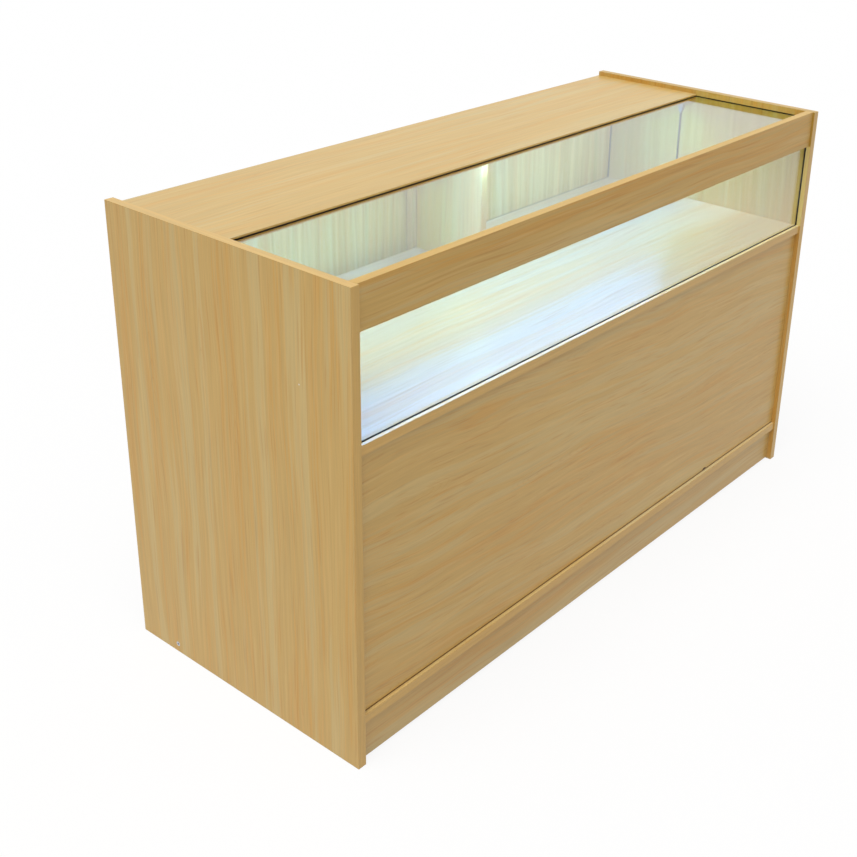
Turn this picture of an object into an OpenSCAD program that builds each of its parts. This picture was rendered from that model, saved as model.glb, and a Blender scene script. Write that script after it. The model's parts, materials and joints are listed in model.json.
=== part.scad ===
// Shop display counter: a glazed and lit display case above a storage cupboard.
// Sizes are in millimetres. The origin is at the bottom centre of the counter.
// +X is to the right as a customer faces it, +Y runs from the customer's side
// to the assistant's side, and +Z is up.

/* [Cabinet] */
// Overall width, across the outer faces of the end panels
cabinet_w = 1500; // [1200:10:1800]
// Overall depth, front edge to rear edge of the end panels
cabinet_d = 600; // [540:10:700]
// Overall height of the end panels
cabinet_h = 900; // [860:10:1000]
// Thickness of every carcass board
board_t = 18; // [16:1:20]
// Gap between the floor and the underside of the plinths
floor_gap = 4; // [2:1:10]
// Height of the plinth boards
plinth_h = 82; // [76:1:110]
// Clear height of the display case, from the deck to the top panel
display_h = 246; // [210:1:280]
// Height of the front rail
rail_h = 80; // [70:1:100]
// Depth of the solid top panel, from the rear edge forwards
top_panel_d = 288; // [240:1:330]
// Thickness of the solid top panel
top_panel_t = 16; // [15:1:20]
// Step down from the end panels' tops to the top panel
top_drop = 10; // [4:1:14]

/* [Setbacks] */
// Front rail's face behind the end panels' front edges
rail_setback = 5; // [3:1:7]
// Front edges of the deck and of the bottom board behind the same edges
ledge_setback = 3; // [1:1:6]
// Lower front panel's face behind the same edges
panel_setback = 10; // [6:1:14]
// Front plinth's face behind the same edges
plinth_setback = 12; // [8:1:30]
// Rear plinth's rear face in front of the end panels' rear edges
rear_plinth_setback = 97; // [85:1:140]

/* [Glass] */
// Thickness of both panes
glass_t = 5; // [4:1:6]
// How much wider than its pane a groove is
groove_play = 1; // [0.6:0.2:1.6]
// Front pane's face behind the end panels' front edges
glass_setback = 12; // [11:1:13]
// Depth of the grooves in the end panels and in the deck
groove_depth = 6; // [5:1:8]
// Depth of the grooves in the front rail and in the top panel
rail_groove_depth = 8; // [6:1:10]
// Gap between the edge of a pane and the bottom of its groove
pane_gap = 1; // [0.5:0.5:2]
// Thickness of the top panel's lip under the top pane
lip_t = 6; // [5:1:7]

/* [Storage] */
// Pitch of the shelf pin holes
pin_pitch = 32; // [25:1:40]
// Shelf pin holes above and below the middle one in each row
pin_rows = 3; // [1:1:4]
// Pin row that carries the shelves, counted from the middle one
shelf_row = 0; // [-1:1:1]
// Distance of the pin rows from the front and rear edges of a shelf
pin_inset = 50; // [30:1:90]
// Gap between a shelf's ends and the boards beside it
shelf_gap = 1; // [0.5:0.5:3]
// Gap between a shelf's front edge and the lower front panel
shelf_front_gap = 2; // [1:1:10]
// Shelf's rear edge in front of the divider's rear edge
shelf_setback = 20; // [5:1:60]
// Diameter of a shelf pin
pin_d = 5; // [4:0.5:6]
// Length of a shelf pin inside its hole
pin_in = 7.5; // [5:0.5:7.5]
// Length of a shelf pin's support outside its hole
pin_out = 8; // [6:1:12]
// How much wider a shelf pin's support is than its stem
pin_rim = 3; // [2:0.5:4]

/* [Doors] */
// Thickness of the sliding doors
door_t = 16; // [14:1:18]
// Gap between the two doors, front to rear
door_gap = 4; // [3.5:0.5:8]
// Rear door's rear face in front of the end panels' rear edges
door_setback = 12; // [8:1:20]
// Overlap of the closed doors
door_overlap = 36; // [30:1:120]
// Gap between the deck's rear edge and the front door
deck_gap = 3; // [2:0.5:6]
// Display partition's rear edge in front of the deck's rear edge
partition_setback = 1; // [1:0.5:5]
// Room above a closed door, so that it lifts out
door_lift = 4.5; // [4.5:0.5:7]
// Gap between a door's bottom edge and the base of the bottom track
door_foot_gap = 3; // [1:0.5:4]
// Thickness of the rubber bumpers at the ends of the travel
bumper_t = 3; // [2:0.5:6]
// Diameter of the rubber bumpers
bumper_d = 12; // [8:1:14]
// Gap between a closed door and its bumpers
bumper_gap = 0.5; // [0.3:0.1:1]
// Distance of the bumpers from the door's top and bottom edges
bumper_inset = 60; // [30:1:120]

/* [Door tracks] */
// Thickness of the top track's web
track_web = 1.5; // [1:0.1:2]
// Thickness of the top track's outer walls
track_wall = 1.4; // [1:0.1:1.6]
// Gap on each face of a door inside its channel
track_play = 0.6; // [0.3:0.1:1]
// Height of the top track's walls
track_h = 16; // [14:1:22]
// Thickness of the bottom track's base
base_t = 2; // [2:0.5:3]
// Width of a guide rib on the bottom track
rib_w = 2.4; // [2:0.1:3]
// Height of a guide rib above the base
rib_h = 8; // [7:0.5:9]
// Gap between a track's end and the end panel
track_end_gap = 0.5; // [0.2:0.1:1]
// Number of screws along each track
track_screw_count = 5; // [3:1:7]
// Distance of the first track screw from the track's end
track_screw_inset = 60; // [30:5:120]

/* [Door glides and pulls] */
// Width of the groove in a door's bottom edge
glide_w = 8; // [7:0.5:10]
// Depth of the groove in a door's bottom edge
glide_h = 10; // [9:0.5:14]
// Length of a nylon glide
glide_l = 60; // [30:1:90]
// Gap on each side of a rib inside a glide
rib_play = 0.3; // [0.3:0.1:0.6]
// Distance of a glide from the door's end
glide_inset = 70; // [20:1:150]
// Width of a flush pull's cup
pull_w = 38; // [30:1:50]
// Height of a flush pull's cup
pull_h = 110; // [80:1:140]
// Depth of the pocket that a flush pull sits in
pull_depth = 11; // [8:0.5:12]
// Wall of a flush pull's cup
pull_wall = 1.5; // [1:0.1:2]
// Width of a flush pull's rim around the cup
pull_rim = 4; // [2:0.5:6]
// Thickness of the rim on the door's face
pull_rim_t = 1.2; // [0.8:0.1:2]
// Distance of a pull's centre from the door's outer end
pull_inset = 60; // [35:1:120]
// Height of the pulls' centres above the floor
pull_z = 520; // [400:5:600]

/* [Lighting] */
// Width of the light channel
led_w = 20; // [18:1:26]
// Height of the light channel
led_h = 12; // [11:1:16]
// Wall of the light channel
led_wall = 1.2; // [1:0.1:1.5]
// Light channel behind the top panel's front edge
led_inset = 27; // [15:1:50]
// Display partition's front edge behind the light channel
led_partition_gap = 8; // [2:1:30]
// Room above the channel's web for the clips
clip_room = 3.8; // [3.6:0.1:4.5]
// Length of the end caps
cap_l = 10; // [8:1:16]
// Width of the circuit board
led_board_w = 10; // [8:1:12]
// Thickness of the circuit board
led_board_t = 1.2; // [0.8:0.1:1.6]
// Size of a light-emitting chip
chip_w = 5; // [3:0.5:6]
// Thickness of a light-emitting chip
chip_t = 1.6; // [1:0.1:2]
// Pitch of the chips
chip_pitch = 30; // [20:1:60]
// Number of spring clips that hold the channel
clip_count = 4; // [2:1:6]
// Length of a spring clip
clip_l = 18; // [12:1:24]
// Distance of the outer clips from the channel's ends
clip_inset = 60; // [30:5:200]
// Height of the opal cover with its legs
cover_h = 3; // [2:0.5:3.5]
// Thickness of the opal cover
cover_t = 1.2; // [0.8:0.1:1.5]

/* [Lead and driver] */
// Diameter of the lead
lead_d = 5; // [4:0.5:6]
// Gap between the lead and the end panel
lead_wall_gap = 1; // [0.5:0.5:2]
// Width of the connector that plugs into the right end cap
plug_w = 13; // [11:1:15]
// Height of the connector
plug_h = 26; // [20:1:34]
// Height of the connector's tapered foot
plug_foot = 8; // [5:1:12]
// Height of the connector's tongue inside the end cap
tongue_h = 5; // [3:0.5:6]
// Height of the saddle on the lead above the deck
saddle_rise = 76; // [70:1:100]
// Height of the saddle itself
saddle_h = 10; // [6:1:14]
// Height above the deck at which the lead starts to bend towards the grommet
bend_top = 62; // [52:1:62]
// Height above the deck at which that bend ends
bend_foot = 16; // [12:1:24]
// Distance of the cable grommet's centre from the end panel
grommet_inset = 18; // [17:1:40]
// Diameter of the hole in the deck for the grommet
grommet_d = 20; // [14:1:24]
// Flange of the grommet around the hole
grommet_rim = 3; // [2:0.5:3.5]
// Length of the lead between its elbow and the driver
lead_tail = 20; // [16:1:60]
// Length of the driver's case
driver_l = 120; // [80:5:180]
// Width of the driver's case
driver_w = 46; // [36:1:60]
// Height of the driver's case
driver_h = 28; // [24:1:36]
// Length of the driver's mounting ears
ear_l = 12; // [11:1:14]
// Thickness of the driver's mounting ears
ear_t = 3; // [2:0.5:5]
// Width of the driver's mounting ears
ear_w = 16; // [12:1:24]
// Diameter of the round inlet for the mains cord
inlet_d = 8; // [6:0.5:9]
// Depth of the inlet's bore
inlet_depth = 14; // [10:1:20]

/* [Cam and dowel joints] */
// Distance of a cam's centre from the end of its board
cam_inset = 34; // [30:1:40]
// Diameter of a cam
cam_d = 15; // [14:0.5:16]
// Height of a cam
cam_h = 11.5; // [10:0.5:11.5]
// Distance of the outer cams from a board's long edges
cam_edge = 75; // [60:1:90]
// Distance of a dowel from the cam beside it
cam_dowel_pitch = 32; // [24:1:40]
// Diameter of a cam bolt's shank
bolt_d = 6.6; // [6:0.1:7]
// Diameter of a cam bolt's thread
bolt_thread_d = 6; // [5:0.5:6.5]
// Length of a cam bolt's thread in the end panel
bolt_thread_l = 11; // [8:0.5:12]
// Diameter of a cam bolt's neck, which the cam closes on
bolt_neck_d = 4; // [3:0.5:5]
// Height of the front rail's cams above the rail's lower edge
rail_cam_rise = 34; // [30:1:40]
// Distance of the front rail's dowels below its cams
rail_dowel_drop = 16; // [14:1:18]
// Distance of the front plinth's dowels below its cams
plinth_dowel_drop = 22; // [14:1:28]
// Distance of the rear plinth's dowels above its screws
rear_plinth_dowel_rise = 40; // [16:1:50]
// Diameter of a dowel
dowel_d = 8; // [6:1:9]
// Length of a dowel
dowel_l = 30; // [25:1:35]
// Depth of a dowel in an end panel
dowel_in = 12; // [8:1:13]
// Depth of a dowel in the face of the deck, top panel or bottom board
dowel_face_in = 8; // [6:0.5:9]
// Distance of the long-edge dowels from the middle of the counter
edge_dowel_x = 480; // [300:10:520]
// Distance of the partition's dowels from its front and rear edges
partition_dowel_inset = 40; // [20:1:50]
// Distance of the divider's front dowel from its front edge
divider_dowel_inset = 110; // [60:1:150]
// Distance of the divider's rear dowel behind the partition's front screw
divider_dowel_step = 31; // [14:1:60]

/* [Screws] */
// Length of the carcass screws
frame_screw_l = 50; // [40:5:60]
// Diameter of a carcass screw's shank
frame_screw_d = 7; // [6:0.5:7]
// Diameter of a carcass screw's thread
frame_thread_d = 5.6; // [5:0.1:5.8]
// Diameter of a carcass screw's head
frame_head_d = 10; // [9:0.5:12]
// Height of a carcass screw's head
frame_head_h = 3; // [2:0.5:4]
// Height of the rear plinth's screws above the floor
plinth_screw_z = 18; // [14:1:24]
// Distance of the partition's screws from its front and rear edges
partition_screw_inset = 40; // [25:1:50]
// Distance of the divider's screws from its front and rear edges
divider_screw_inset = 60; // [40:1:100]
// Diameter of the small screws
small_screw_d = 3; // [2.5:0.1:3.5]
// Length of the small screws
small_screw_l = 13; // [11:1:14]
// Diameter of a small screw's head
small_head_d = 5.6; // [5:0.1:6]
// Height of a small screw's head
small_head_h = 1.8; // [1.5:0.1:2]

/* [Hidden] */
$fn = 40;
// Added to the diameter of every bore over the piece it holds
fit = 0.1;
// How far a cutter runs past the face it opens
over = 1;
// Room behind a shelf pin in its hole
pin_hole_play = 0.3;
// Gap under a glide, above the door's bottom edge
glide_foot_gap = 1;
// Room around a cam bolt in the end of its board
bolt_play = 1;
// Bolt's head and neck, from its inner end
bolt_head_l = 3;
bolt_neck_l = 3;
// Cross slot in a cam's mouth
cross_l = 7;
cross_w = 1.2;
cross_depth = 2;
// Cover caps over the cams: rim beyond the cam, thickness, and plug in the bore
cap_rim = 1.2;
cap_t = 1;
cap_plug_h = 0.8;
cap_plug_play = 0.5;
// Hexagon socket of a carcass screw
socket_d = 4.6;
socket_depth = 2.5;
// Slots of a small screw
slot_l = 3.2;
slot_w = 0.6;
slot_depth = 1;
// Spring clips: overall height, plate, arms, and the beads that snap into the channel's grooves
clip_h = 2.8;
clip_plate_t = 1;
clip_arm_t = 0.8;
clip_play = 0.1;
bead_h = 0.8;
bead_out = 0.4;
clip_groove_h = 1.2;
clip_groove_depth = 0.5;
clip_groove_drop = 2.6;
// Opal cover's legs
cover_leg_t = 1;
// Tongues of the end caps inside the channel
cap_tongue_l = 4;
// Connector's tongue, and its room in the end cap
tongue_t = 4;
tongue_w = 9;
tongue_play = 0.2;
// Wall of the connector's neck around the lead
plug_neck_wall = 1;
// Saddle's wall over the lead and beside it
saddle_t = 1.2;
saddle_side = 1.5;
// Grommet's flange, its wall, and the room around the lead in it
grommet_t = 1.5;
grommet_wall = 2;
lead_play = 0.3;
// Driver's walls, its lid, and the lid's lip
driver_wall = 2;
lid_t = 2;
lid_lip = 3;
// Facets along the lead's two bends and around it
bend_steps = 14;
elbow_steps = 8;
lead_sides = 10;

// Colours
wood = [0.80, 0.66, 0.43];
wood_edge = [0.86, 0.73, 0.50];
pane = [0.80, 0.90, 0.88, 0.35];
steel = [0.72, 0.72, 0.74];
zinc = [0.62, 0.62, 0.62];
bare_beech = [0.82, 0.70, 0.52];
alu = [0.78, 0.79, 0.80];
white_plastic = [0.93, 0.93, 0.91];
grey_plastic = [0.55, 0.56, 0.55];
black_rubber = [0.12, 0.12, 0.12];
opal = [0.96, 0.97, 0.95];
light_glow = [1.0, 0.98, 0.85];

// Faces and levels of the carcass
half_w = cabinet_w / 2;
in_x = half_w - board_t;
front_y = -cabinet_d / 2;
rear_y = cabinet_d / 2;
mid_t = board_t / 2;
plinth_z0 = floor_gap;
bottom_z0 = plinth_z0 + plinth_h;
bottom_z1 = bottom_z0 + board_t;
top_z1 = cabinet_h - top_drop;
top_z0 = top_z1 - top_panel_t;
deck_z1 = top_z0 - display_h;
deck_z0 = deck_z1 - board_t;
rail_z0 = cabinet_h - rail_h;
rail_y0 = front_y + rail_setback;
rail_y1 = rail_y0 + board_t;
ledge_y = front_y + ledge_setback;
panel_y0 = front_y + panel_setback;
panel_y1 = panel_y0 + board_t;
plinth_y0 = front_y + plinth_setback;
plinth_y1 = plinth_y0 + board_t;
rear_plinth_y1 = rear_y - rear_plinth_setback;
rear_plinth_y0 = rear_plinth_y1 - board_t;
top_y0 = rear_y - top_panel_d;

// Doors: the left one runs in the rear channel, the right one in the front channel
rear_door_y1 = rear_y - door_setback;
rear_door_y0 = rear_door_y1 - door_t;
front_door_y1 = rear_door_y0 - door_gap;
front_door_y0 = front_door_y1 - door_t;
front_door_yc = front_door_y0 + door_t / 2;
rear_door_yc = rear_door_y0 + door_t / 2;
door_end_gap = bumper_t + bumper_gap;
door_w = in_x - door_end_gap + door_overlap / 2;
door_z0 = bottom_z1 + base_t + door_foot_gap;
door_z1 = top_z0 - track_web - door_lift;
rib_z1 = bottom_z1 + base_t + rib_h;
track_y0 = front_door_y0 - track_play - track_wall;
track_y1 = rear_door_y1 + track_play + track_wall;
deck_y1 = front_door_y0 - deck_gap;

// Light channel and display partition
led_y0 = top_y0 + led_inset;
led_y1 = led_y0 + led_w;
led_yc = led_y0 + led_w / 2;
led_z0 = top_z0 - led_h;
led_web_z1 = top_z0 - clip_room;
led_web_z0 = led_web_z1 - led_wall;
led_end_x = in_x - cap_l;
partition_y0 = led_y1 + led_partition_gap;
partition_y1 = deck_y1 - partition_setback;

// Storage divider and shelves
divider_y0 = panel_y1;
divider_y1 = partition_y1;
shelf_y0 = panel_y1 + shelf_front_gap;
shelf_y1 = divider_y1 - shelf_setback;
pin_ys = [shelf_y0 + pin_inset, shelf_y1 - pin_inset];
pin_mid_z = (bottom_z1 + deck_z0) / 2;
pin_zs = [for (n = [-pin_rows : pin_rows]) pin_mid_z + n * pin_pitch];
shelf_pin_z = pin_mid_z + shelf_row * pin_pitch;
shelf_z0 = shelf_pin_z + pin_d / 2;

// Panes and their grooves
pane_y0 = front_y + glass_setback;
pane_groove_y0 = pane_y0 - groove_play / 2;
pane_groove_w = glass_t + groove_play;
front_pane_z0 = deck_z1 - groove_depth;
front_pane_z1 = rail_z0 + rail_groove_depth - pane_gap;
top_pane_z0 = top_z0 + lip_t;
top_groove_y0 = rail_y1 - rail_groove_depth;
top_groove_y1 = top_y0 + rail_groove_depth;
pane_x = in_x + groove_depth - pane_gap;

// Lead, grommet and driver
lead_x = in_x - lead_wall_gap - lead_d / 2;
plug_z0 = led_z0 - plug_h;
plug_t = 2 * (in_x - lead_x);
plug_neck_d = lead_d + 2 * plug_neck_wall;
grommet_x = in_x - grommet_inset;
elbow_r = driver_h / 2;
lead_z = deck_z0 - elbow_r;
driver_x1 = grommet_x - elbow_r - lead_tail;
driver_x0 = driver_x1 - driver_l;
driver_z0 = deck_z0 - driver_h;
bend_z1 = deck_z1 + bend_top;
bend_z0 = deck_z1 + bend_foot;
saddle_z0 = deck_z1 + saddle_rise - saddle_h / 2;

// Cam joints in the ends of the boards: distance along Y, height, way the cam opens
opens_down = 0;
opens_back = 1;
function inset_pair(low, high, inset) = [low + inset, high - inset];
top_mid_z = top_z0 + mid_t;
deck_mid_z = deck_z0 + mid_t;
bottom_mid_z = bottom_z0 + mid_t;
rail_mid_y = rail_y0 + mid_t;
panel_mid_y = panel_y0 + mid_t;
plinth_mid_y = plinth_y0 + mid_t;
rear_plinth_mid_y = rear_plinth_y0 + mid_t;
rail_cam_z = rail_z0 + rail_cam_rise;
plinth_mid_z = plinth_z0 + plinth_h / 2;
top_cam_ys = inset_pair(top_y0, rear_y, cam_edge);
deck_cam_ys = inset_pair(ledge_y, deck_y1, cam_edge);
bottom_cam_ys = inset_pair(ledge_y, rear_y, cam_edge);
panel_cam_zs = inset_pair(bottom_z1, deck_z0, cam_edge);
deck_mid_y = (ledge_y + deck_y1) / 2;
top_cams = [for (y = top_cam_ys) [y, top_mid_z, opens_down]];
deck_cams = [for (y = [deck_cam_ys[0], deck_mid_y, deck_cam_ys[1]]) [y, deck_mid_z, opens_down]];
bottom_cams = [for (y = [bottom_cam_ys[0], 0, bottom_cam_ys[1]]) [y, bottom_mid_z, opens_down]];
rail_cams = [[rail_mid_y, rail_cam_z, opens_back]];
panel_cams = [for (z = panel_cam_zs) [panel_mid_y, z, opens_back]];
plinth_cams = [[plinth_mid_y, plinth_mid_z, opens_back]];
all_cams = concat(top_cams, deck_cams, bottom_cams, rail_cams, panel_cams, plinth_cams);

// Dowels in the ends of the boards: distance along Y, height
top_dowels = [for (y = inset_pair(top_y0, rear_y, cam_edge + cam_dowel_pitch)) [y, top_mid_z]];
deck_dowels = [for (y = inset_pair(ledge_y, deck_y1, cam_edge + cam_dowel_pitch)) [y, deck_mid_z]];
bottom_dowels = [for (y = inset_pair(ledge_y, rear_y, cam_edge + cam_dowel_pitch)) [y, bottom_mid_z]];
panel_dowels = [for (z = inset_pair(bottom_z1, deck_z0, cam_edge + cam_dowel_pitch)) [panel_mid_y, z]];
rail_dowels = [[rail_mid_y, rail_cam_z - rail_dowel_drop]];
plinth_dowels = [[plinth_mid_y, plinth_mid_z - plinth_dowel_drop]];
rear_plinth_dowels = [[rear_plinth_mid_y, plinth_screw_z + rear_plinth_dowel_rise]];
all_end_dowels = concat(top_dowels, deck_dowels, bottom_dowels, panel_dowels, rail_dowels,
    plinth_dowels, rear_plinth_dowels);

// Dowels along the lower front panel's long edges, and above the two uprights: the length
// of each that stands out of the face it is glued into
dowel_out = dowel_l - dowel_face_in;
edge_dowel_xs = [-edge_dowel_x, 0, edge_dowel_x];
partition_dowel_ys = inset_pair(partition_y0, partition_y1, partition_dowel_inset);
partition_screw_ys = inset_pair(partition_y0, partition_y1, partition_screw_inset);
divider_dowel_ys = [divider_y0 + divider_dowel_inset, partition_screw_ys[0] + divider_dowel_step];
divider_screw_ys = inset_pair(divider_y0, divider_y1, divider_screw_inset);

// Screws along a track and clips along the light channel, evenly spaced
function spread(half, count) = [for (n = [0 : count - 1]) -half + n * 2 * half / (count - 1)];
track_screw_xs = spread(in_x - track_screw_inset, track_screw_count);
clip_xs = spread(led_end_x - clip_inset, clip_count);

// Shared shapes

// Box between its lowest and its highest corner
module slab(low, high) {
    translate(low)
        cube(high - low);
}

// Round bar along X
module x_rod(d, x0, x1) {
    translate([x0, 0, 0])
        rotate([0, 90, 0])
            cylinder(d = d, h = x1 - x0);
}

// Section drawn in Y and Z, drawn out along X
module along_x(x0, x1) {
    translate([x0, 0, 0])
        rotate([90, 0, 90])
            linear_extrude(x1 - x0)
                children();
}

// Repeats at the left-hand end what is drawn for the right-hand end
module both_ends() {
    for (side = [0, 1])
        mirror([side, 0, 0])
            children();
}

// Middle of a cam joint in the right-hand end of a board; +Z leaves the cam's mouth
module at_cam(spot) {
    translate([in_x - cam_inset, spot[0], spot[1]])
        rotate([spot[2] == opens_down ? 180 : -90, 0, 0])
            children();
}

// Round upright bar or bore from a level, upwards
module z_rod(d, x, y, z0, z1) {
    translate([x, y, z0])
        cylinder(d = d, h = z1 - z0);
}

// Carcass screw: head's face at the origin, thread along +Z
module frame_screw() {
    difference() {
        union() {
            cylinder(d1 = frame_head_d, d2 = frame_screw_d, h = frame_head_h);
            cylinder(d = frame_screw_d, h = board_t);
            cylinder(d = frame_thread_d, h = frame_screw_l);
        }
        translate([0, 0, -over])
            cylinder(d = socket_d, h = over + socket_depth, $fn = 6);
    }
}

// Hole for a carcass screw through one board and into the edge of the next
module frame_screw_hole() {
    translate([0, 0, -fit])
        cylinder(d1 = frame_head_d + 3 * fit, d2 = frame_screw_d + fit, h = frame_head_h + fit);
    cylinder(d = frame_screw_d + fit, h = board_t + fit);
    cylinder(d = frame_thread_d + fit, h = frame_screw_l + over);
}

// Small screw: underside of the head at the origin, thread along +Z
module small_screw() {
    difference() {
        union() {
            cylinder(d = small_screw_d, h = small_screw_l);
            translate([0, 0, -small_head_h])
                cylinder(d = small_head_d, h = small_head_h);
        }
        for (turn = [0, 90])
            rotate([0, 0, turn])
                translate([-slot_l / 2, -slot_w / 2, -small_head_h - over])
                    cube([slot_l, slot_w, over + slot_depth]);
    }
}

// Bore for a small screw's thread
module small_screw_hole() {
    translate([0, 0, -over])
        cylinder(d = small_screw_d + fit, h = small_screw_l + over + fit);
}

// Cam and bolt bores in both ends of a board
module cam_bores(spots) {
    both_ends()
        for (spot = spots)
            at_cam(spot) {
                translate([0, 0, mid_t - over - cam_h])
                    cylinder(d = cam_d + fit, h = cam_h + 2 * over);
                x_rod(bolt_d + bolt_play, 0, cam_inset + over);
            }
}

// Dowel bores in both ends of a board
module dowel_bores(spots) {
    both_ends()
        for (spot = spots)
            translate([0, spot[0], spot[1]])
                x_rod(dowel_d + fit, in_x - (dowel_l - dowel_in) - over, in_x + over);
}

// Rounded slot shape of the flush pulls, upright in X and Z, drawn from Y = 0 to Y = depth
module pull_shape(w, h, depth) {
    for (end = [-1, 1])
        translate([0, 0, end * (h - w) / 2])
            rotate([-90, 0, 0])
                cylinder(d = w, h = depth);
    slab([-w / 2, 0, -(h - w) / 2], [w / 2, depth, (h - w) / 2]);
}

// Shelf pin holes in an upright face at x; dir is the way into the board
module pin_holes(x, dir) {
    for (y = pin_ys, z = pin_zs)
        translate([x, y, z])
            rotate([0, dir * 90, 0])
                translate([0, 0, -over])
                    cylinder(d = pin_d + fit, h = pin_in + pin_hole_play + over);
}

// Carcass boards

module right_end_panel() {
    color(wood)
    difference() {
        slab([in_x, front_y, 0], [half_w, rear_y, cabinet_h]);
        slab([in_x - over, pane_groove_y0, front_pane_z0],
            [in_x + groove_depth, pane_groove_y0 + pane_groove_w, rail_z0 + rail_groove_depth]);
        slab([in_x - over, top_groove_y0, top_pane_z0],
            [in_x + groove_depth, top_groove_y1, top_pane_z0 + glass_t + groove_play]);
        for (spot = all_cams)
            translate([0, spot[0], spot[1]])
                x_rod(bolt_thread_d + fit, in_x - over, in_x + bolt_thread_l + fit);
        for (spot = all_end_dowels)
            translate([0, spot[0], spot[1]])
                x_rod(dowel_d + fit, in_x - over, in_x + dowel_in + fit);
        pin_holes(in_x, 1);
        translate([half_w, rear_plinth_mid_y, plinth_screw_z])
            rotate([0, -90, 0])
                frame_screw_hole();
    }
}

module left_end_panel() {
    mirror([1, 0, 0])
        right_end_panel();
}

module top_panel() {
    color(wood)
    difference() {
        slab([-in_x, top_y0, top_z0], [in_x, rear_y, top_z1]);
        slab([-in_x - over, top_y0 - over, top_pane_z0],
            [in_x + over, top_groove_y1, top_pane_z0 + glass_t + groove_play]);
        cam_bores(top_cams);
        dowel_bores(top_dowels);
        for (y = partition_dowel_ys)
            z_rod(dowel_d + fit, 0, y, top_z0 - over, top_z0 + dowel_face_in + fit);
        top_track_screws() small_screw_hole();
        clip_screw_places() small_screw_hole();
    }
}

module front_rail() {
    color(wood)
    difference() {
        slab([-in_x, rail_y0, rail_z0], [in_x, rail_y1, cabinet_h]);
        slab([-in_x - over, pane_groove_y0, rail_z0 - over],
            [in_x + over, pane_groove_y0 + pane_groove_w, rail_z0 + rail_groove_depth]);
        slab([-in_x - over, top_groove_y0, top_pane_z0],
            [in_x + over, rail_y1 + over, top_pane_z0 + glass_t + groove_play]);
        cam_bores(rail_cams);
        dowel_bores(rail_dowels);
    }
}

module display_deck() {
    color(wood)
    difference() {
        slab([-in_x, ledge_y, deck_z0], [in_x, deck_y1, deck_z1]);
        slab([-in_x - over, pane_groove_y0, front_pane_z0],
            [in_x + over, pane_groove_y0 + pane_groove_w, deck_z1 + over]);
        cam_bores(deck_cams);
        dowel_bores(deck_dowels);
        for (x = edge_dowel_xs)
            z_rod(dowel_d + fit, x, panel_mid_y, deck_z0 - over, deck_z0 + dowel_face_in + fit);
        for (y = divider_dowel_ys)
            z_rod(dowel_d + fit, 0, y, deck_z0 - over, deck_z0 + dowel_face_in + fit);
        for (y = partition_screw_ys)
            translate([0, y, deck_z0])
                frame_screw_hole();
        z_rod(grommet_d, grommet_x, led_yc, deck_z0 - over, deck_z1 + over);
        driver_screw_places() small_screw_hole();
    }
}

module lower_front_panel() {
    color(wood)
    difference() {
        slab([-in_x, panel_y0, bottom_z1], [in_x, panel_y1, deck_z0]);
        cam_bores(panel_cams);
        dowel_bores(panel_dowels);
        for (x = edge_dowel_xs) {
            z_rod(dowel_d + fit, x, panel_mid_y, deck_z0 - dowel_out - over, deck_z0 + over);
            z_rod(dowel_d + fit, x, panel_mid_y, bottom_z1 - over, bottom_z1 + dowel_out + over);
        }
    }
}

module bottom_board() {
    color(wood)
    difference() {
        slab([-in_x, ledge_y, bottom_z0], [in_x, rear_y - ledge_setback, bottom_z1]);
        cam_bores(bottom_cams);
        dowel_bores(bottom_dowels);
        for (x = edge_dowel_xs)
            z_rod(dowel_d + fit, x, panel_mid_y, bottom_z1 - dowel_face_in - fit, bottom_z1 + over);
        for (y = divider_screw_ys)
            translate([0, y, bottom_z0])
                frame_screw_hole();
        bottom_track_screws() small_screw_hole();
    }
}

module front_plinth() {
    color(wood)
    difference() {
        slab([-in_x, plinth_y0, plinth_z0], [in_x, plinth_y1, bottom_z0]);
        cam_bores(plinth_cams);
        dowel_bores(plinth_dowels);
    }
}

module rear_plinth() {
    color(wood)
    difference() {
        slab([-in_x, rear_plinth_y0, plinth_z0], [in_x, rear_plinth_y1, bottom_z0]);
        dowel_bores(rear_plinth_dowels);
        both_ends()
            translate([half_w, rear_plinth_mid_y, plinth_screw_z])
                rotate([0, -90, 0])
                    frame_screw_hole();
    }
}

module display_partition() {
    color(wood)
    difference() {
        slab([-mid_t, partition_y0, deck_z1], [mid_t, partition_y1, top_z0]);
        for (y = partition_dowel_ys)
            z_rod(dowel_d + fit, 0, y, top_z0 - dowel_out - over, top_z0 + over);
        for (y = partition_screw_ys)
            translate([0, y, deck_z0])
                frame_screw_hole();
    }
}

module storage_divider() {
    color(wood)
    difference() {
        slab([-mid_t, divider_y0, bottom_z1], [mid_t, divider_y1, deck_z0]);
        for (y = divider_dowel_ys)
            z_rod(dowel_d + fit, 0, y, deck_z0 - dowel_out - over, deck_z0 + over);
        for (y = divider_screw_ys)
            translate([0, y, bottom_z0])
                frame_screw_hole();
        pin_holes(mid_t, -1);
        pin_holes(-mid_t, 1);
    }
}

module right_shelf() {
    color(wood)
    slab([mid_t + shelf_gap, shelf_y0, shelf_z0], [in_x - shelf_gap, shelf_y1, shelf_z0 + board_t]);
}

module left_shelf() {
    mirror([1, 0, 0])
        right_shelf();
}

// Shelf pin: stem in the board along -Z, flat-topped support along +Z
module shelf_pin() {
    translate([0, 0, -pin_in])
        cylinder(d = pin_d, h = pin_in);
    difference() {
        cylinder(d = pin_d + pin_rim, h = pin_out);
        translate([-pin_d / 2 - over - pin_d, -pin_d, -over])
            cube([pin_d + over, 2 * pin_d, pin_out + 2 * over]);
    }
}

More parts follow.
